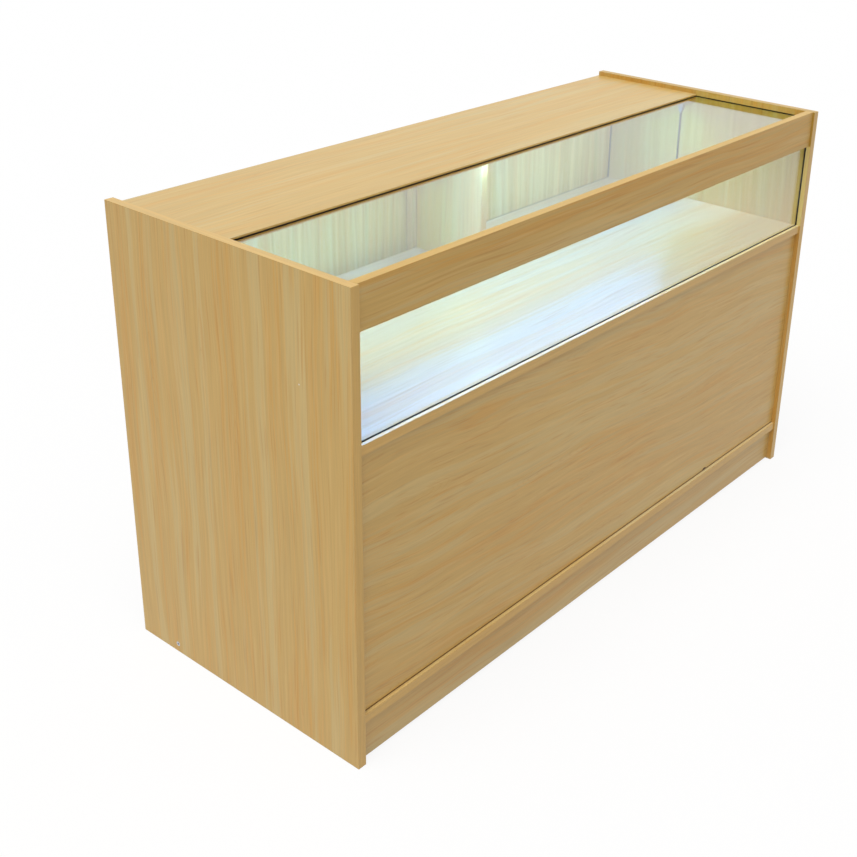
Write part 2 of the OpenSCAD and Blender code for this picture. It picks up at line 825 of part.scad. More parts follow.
module shelf_pins() {
    color(steel)
    both_ends()
        for (y = pin_ys) {
            translate([in_x, y, shelf_pin_z])
                rotate([0, -90, 0])
                    mirror([1, 0, 0])
                        shelf_pin();
            translate([mid_t, y, shelf_pin_z])
                rotate([0, 90, 0])
                    shelf_pin();
        }
}

// Panes

module top_glass() {
    color(pane)
    slab([-pane_x, top_groove_y0 + pane_gap, top_pane_z0],
        [pane_x, top_groove_y1 - pane_gap, top_pane_z0 + glass_t]);
}

module front_glass() {
    color(pane)
    slab([-pane_x, pane_y0, front_pane_z0], [pane_x, pane_y0 + glass_t, front_pane_z1]);
}

// Sliding doors

// Door between x0 and x1 with its front face at y0; pull_x is the pull's centre
module door(x0, x1, y0, pull_x) {
    color(wood)
    difference() {
        slab([x0, y0, door_z0], [x1, y0 + door_t, door_z1]);
        slab([x0 - over, y0 + (door_t - glide_w) / 2, door_z0 - over],
            [x1 + over, y0 + (door_t + glide_w) / 2, door_z0 + glide_h]);
        translate([pull_x, y0 + door_t - pull_depth, pull_z])
            pull_shape(pull_w + fit, pull_h + fit, pull_depth + over);
    }
}

// Nylon glides of a door: blocks in its bottom groove that sit over the rib
module door_glides(x0, x1, yc) {
    color(white_plastic)
    for (x = [x0 + glide_inset, x1 - glide_inset - glide_l])
        difference() {
            slab([x, yc - glide_w / 2, door_z0 + glide_foot_gap],
                [x + glide_l, yc + glide_w / 2, door_z0 + glide_h]);
            slab([x - over, yc - rib_w / 2 - rib_play, door_z0 - over],
                [x + glide_l + over, yc + rib_w / 2 + rib_play, rib_z1]);
        }
}

// Flush pull: open cup in the door's rear face, with a rim on that face at y1
module door_pull(pull_x, y1) {
    color(zinc)
    translate([pull_x, y1, pull_z])
        difference() {
            union() {
                translate([0, -pull_depth + fit, 0])
                    pull_shape(pull_w, pull_h, pull_depth);
                pull_shape(pull_w + 2 * pull_rim, pull_h + 2 * pull_rim, pull_rim_t);
            }
            translate([0, -pull_depth + fit + pull_wall, 0])
                pull_shape(pull_w - 2 * pull_wall, pull_h - 2 * pull_wall, pull_depth + pull_rim_t);
        }
}

door_outer_x = in_x - door_end_gap;
left_pull_x = -door_outer_x + pull_inset;
right_pull_x = door_outer_x - pull_inset;

module left_sliding_door() {
    door(-door_outer_x, -door_outer_x + door_w, rear_door_y0, left_pull_x);
}

module right_sliding_door() {
    door(door_outer_x - door_w, door_outer_x, front_door_y0, right_pull_x);
}

module left_door_glides() {
    door_glides(-door_outer_x, -door_outer_x + door_w, rear_door_yc);
}

module right_door_glides() {
    door_glides(door_outer_x - door_w, door_outer_x, front_door_yc);
}

module left_door_pull() {
    door_pull(left_pull_x, rear_door_y1);
}

module right_door_pull() {
    door_pull(right_pull_x, front_door_y1);
}

// Tracks, bumpers and their screws

module door_top_track() {
    color(alu)
    difference() {
        slab([-in_x + track_end_gap, track_y0, top_z0 - track_h], [in_x - track_end_gap, track_y1, top_z0]);
        for (y0 = [front_door_y0, rear_door_y0])
            slab([-in_x, y0 - track_play, top_z0 - track_h - over],
                [in_x, y0 + door_t + track_play, top_z0 - track_web]);
        top_track_screws() small_screw_hole();
    }
}

module door_bottom_track() {
    color(alu)
    difference() {
        union() {
            slab([-in_x + track_end_gap, track_y0, bottom_z1],
                [in_x - track_end_gap, track_y1, bottom_z1 + base_t]);
            for (yc = [front_door_yc, rear_door_yc])
                slab([-in_x + track_end_gap, yc - rib_w / 2, bottom_z1],
                    [in_x - track_end_gap, yc + rib_w / 2, rib_z1]);
        }
        bottom_track_screws() {
            small_screw_hole();
            translate([0, 0, -small_head_h])
                cylinder(d = small_head_d + fit, h = small_head_h);
        }
    }
}

// Screws of the top track, upwards into the top panel, in both channels
module top_track_screws() {
    for (x = track_screw_xs, yc = [front_door_yc, rear_door_yc])
        translate([x, yc, top_z0 - track_web])
            children();
}

// Screws of the bottom track, downwards into the bottom board, between the ribs
module bottom_track_screws() {
    for (x = track_screw_xs)
        translate([x, (front_door_yc + rear_door_yc) / 2, bottom_z1 + base_t - small_head_h])
            rotate([180, 0, 0])
                children();
}

module track_screws() {
    color(steel) {
        top_track_screws() small_screw();
        bottom_track_screws() small_screw();
    }
}

module door_bumpers() {
    color(black_rubber)
    both_ends()
        for (yc = [front_door_yc, rear_door_yc], z = inset_pair(door_z0, door_z1, bumper_inset))
            translate([0, yc, z])
                x_rod(bumper_d, in_x - bumper_t, in_x);
}

// Lighting

// Extruded channel: lamps below the web, spring clips above it
module led_channel() {
    color(alu)
    along_x(-led_end_x, led_end_x)
        difference() {
            translate([led_y0, led_z0])
                square([led_w, led_h]);
            translate([led_y0 + led_wall, led_z0 - over])
                square([led_w - 2 * led_wall, led_web_z0 - led_z0 + over]);
            translate([led_y0 + led_wall, led_web_z1])
                square([led_w - 2 * led_wall, clip_room + over]);
            translate([led_y0 + led_wall - clip_groove_depth, top_z0 - clip_groove_drop])
                square([led_w - 2 * (led_wall - clip_groove_depth), clip_groove_h]);
        }
}

module led_board() {
    color(white_plastic)
    slab([-led_end_x + over, led_yc - led_board_w / 2, led_web_z0 - led_board_t],
        [led_end_x - over, led_yc + led_board_w / 2, led_web_z0]);
}

module led_chips() {
    chip_z1 = led_web_z0 - led_board_t;
    count = floor((2 * led_end_x - chip_pitch) / chip_pitch);
    color(light_glow)
    for (n = [0 : count - 1])
        translate([(n - (count - 1) / 2) * chip_pitch - chip_w / 2, led_yc - chip_w / 2, chip_z1 - chip_t])
            cube([chip_w, chip_w, chip_t]);
}

// Opal cover with two legs that grip the channel's walls from inside
module led_diffuser() {
    half = led_w / 2 - led_wall;
    color(opal)
    along_x(-led_end_x, led_end_x)
        difference() {
            translate([led_yc - half, led_z0])
                square([2 * half, cover_h]);
            translate([led_yc - half + cover_leg_t, led_z0 + cover_t])
                square([2 * (half - cover_leg_t), cover_h]);
        }
}

// Connector's tongue, or with a play the room for it
module tongue(play) {
    slab([lead_x - tongue_t / 2 - play, led_yc - tongue_w / 2 - play, led_z0 - over],
        [lead_x + tongue_t / 2 + play, led_yc + tongue_w / 2 + play, led_z0 + tongue_h + play]);
}

// End caps; the right-hand one takes the connector from below
module led_end_caps() {
    color(grey_plastic)
    difference() {
        both_ends() {
            slab([led_end_x, led_y0, led_z0], [in_x, led_y1, top_z0]);
            slab([led_end_x - cap_tongue_l, led_y0 + led_wall + clip_play, led_web_z1 + clip_play],
                [led_end_x + over, led_y1 - led_wall - clip_play, top_z0 - clip_h]);
        }
        tongue(tongue_play);
    }
}

// Places of the clips' screws, upwards into the top panel
module clip_screw_places() {
    for (x = clip_xs)
        translate([x, led_yc, top_z0 - clip_plate_t])
            children();
}

// Spring clips: plate under the top panel and two arms with a bead each
module led_clips() {
    half = led_w / 2 - led_wall - clip_play;
    bead_drop = clip_groove_drop - (clip_groove_h - bead_h) / 2;
    color(steel)
    difference() {
        for (x = clip_xs)
            along_x(x - clip_l / 2, x + clip_l / 2)
                translate([led_yc, top_z0])
                    difference() {
                        union() {
                            translate([-half, -clip_h])
                                square([2 * half, clip_h]);
                            translate([-half - bead_out, -bead_drop])
                                square([2 * (half + bead_out), bead_h]);
                        }
                        translate([-half + clip_arm_t, -clip_h - over])
                            square([2 * (half - clip_arm_t), clip_h - clip_plate_t + over]);
                    }
        clip_screw_places() small_screw_hole();
    }
}

module led_clip_screws() {
    color(steel)
    clip_screw_places() small_screw();
}

// Connector below the right end cap, with a tongue upwards and a tapered foot
module led_connector() {
    color(grey_plastic) {
        slab([lead_x - plug_t / 2, led_yc - plug_w / 2, plug_z0 + plug_foot],
            [lead_x + plug_t / 2, led_yc + plug_w / 2, led_z0]);
        tongue(0);
        hull() {
            slab([lead_x - plug_t / 2, led_yc - plug_w / 2, plug_z0 + plug_foot],
                [lead_x + plug_t / 2, led_yc + plug_w / 2, plug_z0 + plug_foot + over]);
            z_rod(plug_neck_d, lead_x, led_yc, plug_z0, plug_z0 + over, $fn = 24);
        }
    }
}

// Route of the lead in X and Z: down the end panel, across to the grommet, through the
// deck, and round an elbow to the driver
lead_route = concat(
    [[lead_x, plug_z0], [lead_x, (plug_z0 + bend_z1) / 2]],
    [for (n = [0 : bend_steps])
        [lead_x + (grommet_x - lead_x) * (1 - cos(180 * n / bend_steps)) / 2,
            bend_z1 + (bend_z0 - bend_z1) * n / bend_steps]],
    [[grommet_x, (bend_z0 + deck_z0) / 2]],
    [for (n = [0 : elbow_steps])
        [grommet_x - elbow_r + elbow_r * cos(90 * n / elbow_steps),
            deck_z0 - elbow_r * sin(90 * n / elbow_steps)]],
    [[driver_x1, lead_z]]);

// Direction of the route at a point, from its neighbours
function unit(v) = v / norm(v);
function lead_dir(n) =
    let (last = len(lead_route) - 1)
    n == 0 ? unit(lead_route[1] - lead_route[0]) :
    n == last ? unit(lead_route[last] - lead_route[last - 1]) :
    unit(unit(lead_route[n + 1] - lead_route[n]) + unit(lead_route[n] - lead_route[n - 1]));

// Round tube along the route, one ring of points at each of its points
module led_lead() {
    rings = len(lead_route);
    around = [0 : lead_sides - 1];
    points = [for (n = [0 : rings - 1], k = around)
        let (d = lead_dir(n), a = 360 * k / lead_sides, r = lead_d / 2)
        [lead_route[n][0] - r * sin(a) * d[1], led_yc + r * cos(a), lead_route[n][1] + r * sin(a) * d[0]]];
    walls = [for (n = [0 : rings - 2], k = around)
        let (a = n * lead_sides + k, b = n * lead_sides + (k + 1) % lead_sides)
        each [[a, b, b + lead_sides], [a, b + lead_sides, a + lead_sides]]];
    start = [[for (k = around) lead_sides - 1 - k]];
    finish = [[for (k = around) (rings - 1) * lead_sides + k]];
    color(grey_plastic)
    polyhedron(points = points, faces = concat(walls, start, finish));
}

// Saddle that holds the lead to the end panel
module lead_clip() {
    color(white_plastic)
    difference() {
        slab([lead_x - lead_d / 2 - saddle_t, led_yc - lead_d / 2 - saddle_side, saddle_z0],
            [in_x, led_yc + lead_d / 2 + saddle_side, saddle_z0 + saddle_h]);
        z_rod(lead_d + 2 * fit, lead_x, led_yc, saddle_z0 - over, saddle_z0 + saddle_h + over);
    }
}

module deck_grommet() {
    color(grey_plastic)
    difference() {
        union() {
            z_rod(grommet_d - fit, grommet_x, led_yc, deck_z0, deck_z1 + over);
            z_rod(grommet_d + 2 * grommet_rim, grommet_x, led_yc, deck_z1, deck_z1 + grommet_t);
        }
        z_rod(grommet_d - 2 * grommet_wall, grommet_x, led_yc, deck_z0 - over, deck_z1);
        z_rod(lead_d + 2 * lead_play, grommet_x, led_yc, deck_z1 - over, deck_z1 + grommet_t + over);
    }
}

// Places of the driver's two screws, upwards into the deck
module driver_screw_places() {
    for (x = [driver_x0 - ear_l / 2, driver_x1 + ear_l / 2])
        translate([x, led_yc, deck_z0 - ear_t])
            children();
}

// Driver's case: open below, with ears, a lead outlet and a round inlet
module led_driver() {
    color(white_plastic)
    difference() {
        union() {
            slab([driver_x0, led_yc - driver_w / 2, driver_z0 + lid_t],
                [driver_x1, led_yc + driver_w / 2, deck_z0]);
            slab([driver_x0 - ear_l, led_yc - ear_w / 2, deck_z0 - ear_t],
                [driver_x1 + ear_l, led_yc + ear_w / 2, deck_z0]);
        }
        slab([driver_x0 + inlet_depth + driver_wall, led_yc - driver_w / 2 + driver_wall, driver_z0],
            [driver_x1 - driver_wall, led_yc + driver_w / 2 - driver_wall, deck_z0 - driver_wall]);
        translate([0, led_yc, lead_z])
            x_rod(inlet_d, driver_x0 - over, driver_x0 + inlet_depth);
        driver_screw_places() small_screw_hole();
    }
}

// Lid with a lip that fits inside the case
module driver_lid() {
    color(white_plastic) {
        slab([driver_x0, led_yc - driver_w / 2, driver_z0],
            [driver_x1, led_yc + driver_w / 2, driver_z0 + lid_t]);
        lip_y = driver_w / 2 - driver_wall - fit;
        slab([driver_x0 + inlet_depth + driver_wall + fit, led_yc - lip_y, driver_z0],
            [driver_x1 - driver_wall - fit, led_yc + lip_y, driver_z0 + lid_t + lid_lip]);
    }
}

module driver_screws() {
    color(steel)
    driver_screw_places() small_screw();
}

// Joint fittings

// Cam: disc with a pocket for the bolt's head and a cross slot in its mouth
module cam_lock() {
    translate([0, 0, mid_t - over])
        difference() {
            translate([0, 0, -cam_h])
                cylinder(d = cam_d, h = cam_h);
            translate([0, 0, -mid_t + over])
                x_rod(bolt_d + bolt_play, -bolt_d / 2, cam_d);
            for (turn = [0, 90])
                rotate([0, 0, turn])
                    translate([-cross_l / 2, -cross_w / 2, -cross_depth])
                        cube([cross_l, cross_w, cross_depth + over]);
        }
}

module cam_locks() {
    color(zinc)
    both_ends()
        for (spot = all_cams)
            at_cam(spot) cam_lock();
}

// Bolt: thread in the end panel, shank, neck, and a head inside the cam
module cam_bolts() {
    head_x0 = in_x - cam_inset;
    neck_x0 = head_x0 + bolt_head_l;
    color(steel)
    both_ends()
        for (spot = all_cams)
            translate([0, spot[0], spot[1]]) {
                x_rod(bolt_thread_d, in_x - over, in_x + bolt_thread_l);
                x_rod(bolt_d, neck_x0 + bolt_neck_l, in_x);
                x_rod(bolt_neck_d, neck_x0 - over, neck_x0 + bolt_neck_l + over);
                x_rod(bolt_d, head_x0, neck_x0);
            }
}

// Cover caps over the cams
module cam_caps() {
    color(wood_edge)
    both_ends()
        for (spot = all_cams)
            at_cam(spot)
                translate([0, 0, mid_t]) {
                    cylinder(d = cam_d + 2 * cap_rim, h = cap_t);
                    translate([0, 0, -cap_plug_h])
                        cylinder(d = cam_d - 2 * cap_plug_play, h = cap_plug_h);
                }
}

module dowels() {
    color(bare_beech) {
        both_ends()
            for (spot = all_end_dowels)
                translate([0, spot[0], spot[1]])
                    x_rod(dowel_d, in_x - (dowel_l - dowel_in), in_x + dowel_in);
        for (x = edge_dowel_xs) {
            z_rod(dowel_d, x, panel_mid_y, deck_z0 - dowel_out, deck_z0 + dowel_face_in);
            z_rod(dowel_d, x, panel_mid_y, bottom_z1 - dowel_face_in, bottom_z1 + dowel_out);
        }
        for (y = partition_dowel_ys)
            z_rod(dowel_d, 0, y, top_z0 - dowel_out, top_z0 + dowel_face_in);
        for (y = divider_dowel_ys)
            z_rod(dowel_d, 0, y, deck_z0 - dowel_out, deck_z0 + dowel_face_in);
    }
}

module plinth_screws() {
    color(steel)
    both_ends()
        translate([half_w, rear_plinth_mid_y, plinth_screw_z])
            rotate([0, -90, 0])
                frame_screw();
}

module partition_screws() {
    color(steel)
    for (y = partition_screw_ys)
        translate([0, y, deck_z0])
            frame_screw();
}

module divider_screws() {
    color(steel)
    for (y = divider_screw_ys)
        translate([0, y, bottom_z0])
            frame_screw();
}

left_end_panel();
right_end_panel();
top_panel();
front_rail();
display_deck();
lower_front_panel();
bottom_board();
front_plinth();
rear_plinth();
display_partition();
storage_divider();
left_shelf();
right_shelf();
shelf_pins();
top_glass();
front_glass();
left_sliding_door();
right_sliding_door();
left_door_glides();
right_door_glides();
left_door_pull();
right_door_pull();
door_top_track();
door_bottom_track();
door_bumpers();
track_screws();
led_channel();
led_board();
led_chips();
led_diffuser();
led_end_caps();
led_clips();
led_clip_screws();
led_connector();
led_lead();
lead_clip();
deck_grommet();
led_driver();
driver_lid();
driver_screws();
cam_locks();
cam_bolts();
cam_caps();
dowels();
plinth_screws();
partition_screws();
divider_screws();
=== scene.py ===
import json
import math
import bpy
from mathutils import Matrix, Vector

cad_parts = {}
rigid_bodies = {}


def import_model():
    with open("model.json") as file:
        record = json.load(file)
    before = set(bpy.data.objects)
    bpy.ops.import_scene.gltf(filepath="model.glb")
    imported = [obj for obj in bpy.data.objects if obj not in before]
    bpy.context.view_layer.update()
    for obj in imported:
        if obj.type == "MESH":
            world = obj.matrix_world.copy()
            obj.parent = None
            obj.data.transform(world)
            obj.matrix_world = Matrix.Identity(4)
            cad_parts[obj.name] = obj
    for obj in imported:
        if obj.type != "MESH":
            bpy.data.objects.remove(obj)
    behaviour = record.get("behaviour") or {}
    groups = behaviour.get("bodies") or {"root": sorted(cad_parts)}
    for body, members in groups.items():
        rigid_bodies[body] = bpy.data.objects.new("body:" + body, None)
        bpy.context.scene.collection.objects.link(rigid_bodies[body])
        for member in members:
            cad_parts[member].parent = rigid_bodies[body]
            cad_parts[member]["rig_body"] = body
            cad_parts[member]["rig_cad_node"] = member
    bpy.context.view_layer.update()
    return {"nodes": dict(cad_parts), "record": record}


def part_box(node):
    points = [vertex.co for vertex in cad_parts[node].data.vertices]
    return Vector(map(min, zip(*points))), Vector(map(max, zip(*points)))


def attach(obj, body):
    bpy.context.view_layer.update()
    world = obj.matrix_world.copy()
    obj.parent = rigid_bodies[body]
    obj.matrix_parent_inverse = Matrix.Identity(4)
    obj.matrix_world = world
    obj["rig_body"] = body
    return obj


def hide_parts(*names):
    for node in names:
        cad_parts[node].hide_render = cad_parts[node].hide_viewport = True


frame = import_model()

nodes = frame["nodes"]
mm = 0.001


# the camera stands where the photographer stood
cameraView = {
    "place": (-1983.5, -1558.3, 1601.0),      # mm
    "right": (0.6371, -0.7703, 0.0265),
    "up": (0.2913, 0.2725, 0.9170),
    "lens": 54.29,                            # mm
    "sensor": 36.0,                           # mm
    "shift": (-0.0706, -0.1167),
    "reach": 60,                              # m
}


def addCamera(values):
    data = bpy.data.cameras.new("counterCamera")
    data.lens = values["lens"]
    data.sensor_width = values["sensor"]
    data.shift_x, data.shift_y = values["shift"]
    data.clip_end = values["reach"]
    camera = bpy.data.objects.new("counterCamera", data)
    bpy.context.scene.collection.objects.link(camera)
    right = Vector(values["right"]).normalized()
    back = right.cross(Vector(values["up"])).normalized()
    up = back.cross(right)
    turn = Matrix((right, up, back)).transposed().to_4x4()
    camera.matrix_world = Matrix.Translation(Vector(values["place"]) * mm) @ turn
    bpy.context.scene.camera = camera


addCamera(cameraView)
print("camera placed")


class Wire:
    # a node's output, used like a number
    def __init__(self, finish, node, socket):
        self.finish, self.node, self.socket = finish, node, socket

    def out(self, name):
        return Wire(self.finish, self.node, self.node.outputs[name])

    def sum(self, operation, *values):
        return self.finish.add("Math", {"operation": operation}, dict(enumerate(values)))

    def __add__(self, other): return self.sum("ADD", self, other)
    def __radd__(self, other): return self.sum("ADD", other, self)
    def __sub__(self, other): return self.sum("SUBTRACT", self, other)
    def __rsub__(self, other): return self.sum("SUBTRACT", other, self)
    def __mul__(self, other): return self.sum("MULTIPLY", self, other)
    def __rmul__(self, other): return self.sum("MULTIPLY", other, self)
    def __truediv__(self, other): return self.sum("DIVIDE", self, other)
    def __pow__(self, other): return self.sum("POWER", self, other)
    def __gt__(self, other): return self.sum("GREATER_THAN", self, other)
    def __lt__(self, other): return self.sum("LESS_THAN", self, other)
    def __abs__(self): return self.sum("ABSOLUTE", self)


class Finish:
    # one material, or the world, and the ways to add to it
    def __init__(self, name, owner=None):
        self.owner = owner or bpy.data.materials.new(name)
        self.owner.use_nodes = True
        self.tree = self.owner.node_tree
        self.tree.nodes.clear()

    def add(self, kind, settings=None, sockets=None):
        node = self.tree.nodes.new("ShaderNode" + kind)
        for name, value in (settings or {}).items():
            setattr(node, name, value)
        for key, value in (sockets or {}).items():
            if isinstance(key, int):
                target = node.inputs[key]
            else:
                target = next(s for s in node.inputs if s.name == key and s.enabled)
            if isinstance(value, Wire):
                self.tree.links.new(value.socket, target)
            else:
                target.default_value = value
        return Wire(self, node, next((s for s in node.outputs if s.enabled), None))

    def mix(self, factor, a, b, blend="MIX"):
        sockets = {"Factor": factor, "A": a, "B": b}
        return self.add("Mix", {"data_type": "RGBA", "blend_type": blend}, sockets)

    def smooth(self, value, low, high):
        sockets = {"Value": value, "From Min": low, "From Max": high}
        return self.add("MapRange", {"interpolation_type": "SMOOTHSTEP"}, sockets)

    def vector(self, x, y, z):
        return self.add("CombineXYZ", {}, {"X": x, "Y": y, "Z": z})

    def noise(self, vector, detail=2.0, rough=0.5):
        sockets = {"Vector": vector, "Scale": 1.0, "Detail": detail, "Roughness": rough}
        return self.add("TexNoise", {"noise_dimensions": "3D"}, sockets)

    def place(self, scale=None):
        place = self.add("TexCoord").out("Object")
        return self.add("Mapping", {}, {"Vector": place, "Scale": scale}) if scale else place

    def finish(self, shader, output="OutputMaterial"):
        self.add(output, {}, {"Surface": shader})
        return self.owner


def rgb(red, green, blue):
    # a colour written as it is seen, made linear
    def linear(value):
        value = min(max(value, 0), 255) / 255
        return value / 12.92 if value <= 0.04045 else ((value + 0.055) / 1.055) ** 2.4
    return (linear(red), linear(green), linear(blue), 1.0)


# a maple-effect board, unless boardLooks says otherwise: a place is two corners, each a Y and
# a Z in metres, and a tone is what red, green and blue are multiplied by
plainBoard = {
    "tilt": 0.0,                # slant of the print's streaks
    "wave": 1.0,                # how far they wander
    "short": 1.0,               # how many times shorter they are
    "streak": 1.0,              # how strongly they show
    "side": 0,                  # the face with the tint, -1 or 1 along through, or 0 for both
    "tint": (1.0, 1.0, 1.0),    # the painted light and shade on that face, the tone the lamp and the room give it
    "crisp": 0.0,               # strength of the narrow streaks that come with the tint
    "fade": None,               # the axis along which the tint grows, from here to there
    "within": None,             # the only place with the tint
    "rear": None,               # a tone of painted light on that face, and where along Y it grows
    "paintedLightStrips": (),               # places on that face, or on face 1 for both, with their tones of painted light and shade: painted highlights and painted shadows
    "edges": (),                # places on the narrow faces, with their tones of painted shade
    "seam": None,               # height of a painted shadow line along the foot, where the board stands on the one below
    "gloss": 0.5,
    "rough": 0.36,
    "patchy": 1.0,              # unevenness of the roughness
    "coat": 0.0,
    "relief": 0.00002,          # m
}

# grain is the way the print runs, and through is the way through the board
# the tints, fades, rear tones, strips and edge tones in this table are painted light and shade,
# fitted to the case's lamp and the room's light
boardLooks = {
    "left_end_panel": {"grain": "z", "through": "x", "seed": 3.1, "side": -1,
                       "tint": (0.975, 0.955, 0.80)},
    "right_end_panel": {"grain": "z", "through": "x", "seed": 7.7, "side": -1, "crisp": 0.95,
                        # the inner face gets painted light and shade, darker and less blue toward
                        # the top
                        "tint": (0.60, 0.70, 0.16), "fade": ("Z", 0.45, 0.95),
                        "within": ((-0.2885, 0.620), (0.2492, 0.8795)),
                        # painted light and shade: a painted highlight along the front, and painted
                        # shade above and below it and beside the top panel
                        "paintedLightStrips": [((-0.2995, 0.628), (-0.2885, 0.820), (1.16, 1.25, 1.06)),
                                   ((-0.2995, 0.820), (-0.2950, 0.8996), (0.73, 0.68, 0.30)),
                                   ((-0.2995, 0.004), (-0.2885, 0.610), (1.02, 0.885, 0.60)),
                                   # a painted shadow in the corner behind the doors' planes
                                   ((0.2492, 0.628), (0.2719, 0.874), (0.10, 0.11, 0.08)),
                                   ((-0.2950, 0.8795), (0.0125, 0.8996), (1.02, 0.97, 0.54)),
                                   ((0.0125, 0.8795), (0.2995, 0.8996), (0.95, 0.83, 0.44))],
                        # painted shade on the top edge
                        "edges": [((-0.3001, 0.8990), (0.3001, 0.9001), (0.80, 0.78, 0.58))]},
    "top_panel": {"grain": "x", "through": "z", "seed": 12.9, "side": 1, "streak": 0.9,
                  "tint": (0.975, 1.01, 0.93),
                  # painted shade on the lower lip of the front edge, under the groove
                  "edges": [((0.0112, 0.8738), (0.0126, 0.8802), (0.88, 0.73, 0.22))]},
    "front_rail": {"grain": "x", "through": "y", "seed": 17.3, "side": -1,
                   "tint": (0.935, 0.905, 0.79), "gloss": 0.3, "rough": 0.42},
    "display_deck": {"grain": "x", "through": "z", "seed": 23.8, "side": 1, "streak": 1.2,
                     # the deck's tint and rear tone are painted light from the lamp: bluer, and
                     # paler toward the back
                     "rough": 0.3, "patchy": 0.15, "coat": 1.0, "tint": (0.98, 1.08, 1.30),
                     "relief": 0.0000005, "rear": (-0.14, 0.02, (1.06, 1.12, 1.42)),
                     # a painted highlight on the front ledge, where the lamp is mirrored
                     "paintedLightStrips": [((-0.2965, 0.620), (-0.2896, 0.629), (1.4, 1.5, 1.7))]},
    "lower_front_panel": {"grain": "x", "through": "y", "seed": 31.5, "side": -1, "tilt": 0.06,
                          "wave": 1.7, "short": 1.9, "streak": 0.9,
                          # a painted shadow line along its foot, above the bottom board
                          "tint": (0.955, 0.92, 0.75), "seam": 0.0034},
    "bottom_board": {"grain": "x", "through": "z", "seed": 36.2,
                     # a painted highlight on the ledge above the plinth
                     "paintedLightStrips": [((-0.2965, 0.100), (-0.2902, 0.105), (1.20, 1.34, 1.62))]},
    "front_plinth": {"grain": "x", "through": "y", "seed": 41.6, "side": -1,
                     "tint": (0.945, 0.925, 0.83)},
    "rear_plinth": {"grain": "x", "through": "y", "seed": 47.1},
    "display_partition": {"grain": "z", "through": "x", "seed": 53.4, "streak": 1.2,
                          # the faces get painted light and shade, yellower toward the rear
                          "tint": (0.96, 1.01, 0.52), "fade": ("Y", 0.075, 0.190),
                          # painted shade on the front edge, under the lamp
                          "edges": [((0.0660, 0.6280), (0.0676, 0.8740), (0.82, 0.82, 0.66))]},
    "storage_divider": {"grain": "z", "through": "x", "seed": 58.8},
    "left_shelf": {"grain": "x", "through": "z", "seed": 64.3},
    "right_shelf": {"grain": "x", "through": "z", "seed": 69.9},
    "left_sliding_door": {"grain": "z", "through": "y", "seed": 75.2, "side": -1,
                          "streak": 1.2, "crisp": 1.0, "tint": (0.955, 1.04, 0.76)},
    "right_sliding_door": {"grain": "z", "through": "y", "seed": 81.6, "side": -1,
                           "streak": 1.2, "crisp": 1.8, "tint": (0.94, 1.01, 0.72),
                           # a painted shadow line along the door's foot, above the deck
                           "paintedLightStrips": [((0.2515, 0.6235), (0.2525, 0.6290), (0.62, 0.60, 0.52))]},
}

mapleTones = {
    "base": (204, 168, 102),
    "pale": (203, 178, 126),
    "warm": (206, 158, 80),
    "line": (190, 136, 62),
    "edge": (211, 173, 95),
    "glue": (160, 122, 70),
    # the grooves' tone is bare chipboard darkened with painted shade
    "groove": (34, 25, 13),
    # the seam's tone is a painted shadow
    "seam": (84, 46, 4),
}

# the layers of the print: how often each changes in a metre along the grain and across it,
# what it adds to the board's seed, its detail and its roughness
mapleLayers = {
    "slow": (2.1, 6, 0, 1.0, 0.5),
    "quick": (7, 24, 0.5, 1.0, 0.5),
    "broad": (0.8, 27, 1, 1.0, 0.45),
    "streak": (1.6, 64, 2, 1.5, 0.5),
    "thin": (3.6, 180, 3, 1.5, 0.5),
    "fibre": (11, 420, 4, 2.0, 0.6),
    "crisp": (2, 95, 6, 1.5, 0.5),
    "lines": (6, 250, 7, 1.0, 0.5),
    "sway": (5, 22, 0, 2.0, 0.5),
}

# Of is what each layer adds to a part of the print, From is where that part starts to show and
# where it is full, and Share is how strong it is there
maplePrint = {
    "slowDrift": 0.030,                 # m
    "quickDrift": 0.0045,               # m
    "paleOf": {"broad": 0.6, "streak": 0.4},
    "paleFrom": (0.515, 0.565),
    "paleShare": 0.75,
    "warmOf": {"streak": 0.55, "thin": 0.45, "broad": -0.15},
    "warmFrom": (0.43, 0.51),
    "warmShare": 0.8,
    "warmOnPale": 0.25,                 # what is left of the warm streaks on the pale ones
    "thinFrom": (0.55, 0.68),
    "thinShare": 0.35,
    "linesFrom": (0.58, 0.72),
    "linesShare": 0.42,
    "archShare": 0.34,
    "linesOnEdge": 0.2,                 # what is left of the lines on the narrow faces
    "edgeShare": 0.75,
    "shadeOf": {"thin": 0.26, "fibre": 0.20, "broad": 0.08},
    "ahead": (0.94, 0.89, 0.80),        # painted shade: a darker, warmer tone of narrow faces that look forward or back
    "swing": (0.4, 0.7, 1.6),           # what the crisp streaks do to red, green and blue
    "glueIn": 0.0009,                   # m, from the board's edge to the line of glue
    "glueHalf": 0.00018,                # m
    "glueShare": 0.55,
    "seamShare": 0.85,
    "roughOf": {"fibre": 0.10, "broad": 0.06},
    "grooveRough": 0.4,
    "reliefOf": {"fibre": 1.0, "thin": 0.6},
    "bump": 0.5,
    "coatRough": 0.27,
}

# nested arches down the middle of some strips of the print
archLines = {
    "width": 0.072,                     # m, of a strip
    "shift": 0.017,                     # m, times the board's seed
    "spread": 1.9,
    "turned": 0.6,                      # strips above this chance are turned round
    "bare": 0.3,                        # strips below this chance have no arches
    "start": 3,
    "pitch": 19,                        # arches in a metre
    "bend": 1.6,
    "reach": 3.2,
    "sway": 4.5,
    "runs": (2.6, 3.7, 9, 1.0),         # a layer that shows them here and there
    "runsFrom": (0.54, 0.66),
    "fade": 0.5,                        # toward a strip's sides
    "sharp": 7,
}

# a face turns toward an axis when that axis has more than this share of its normal
faceLimit = 0.6

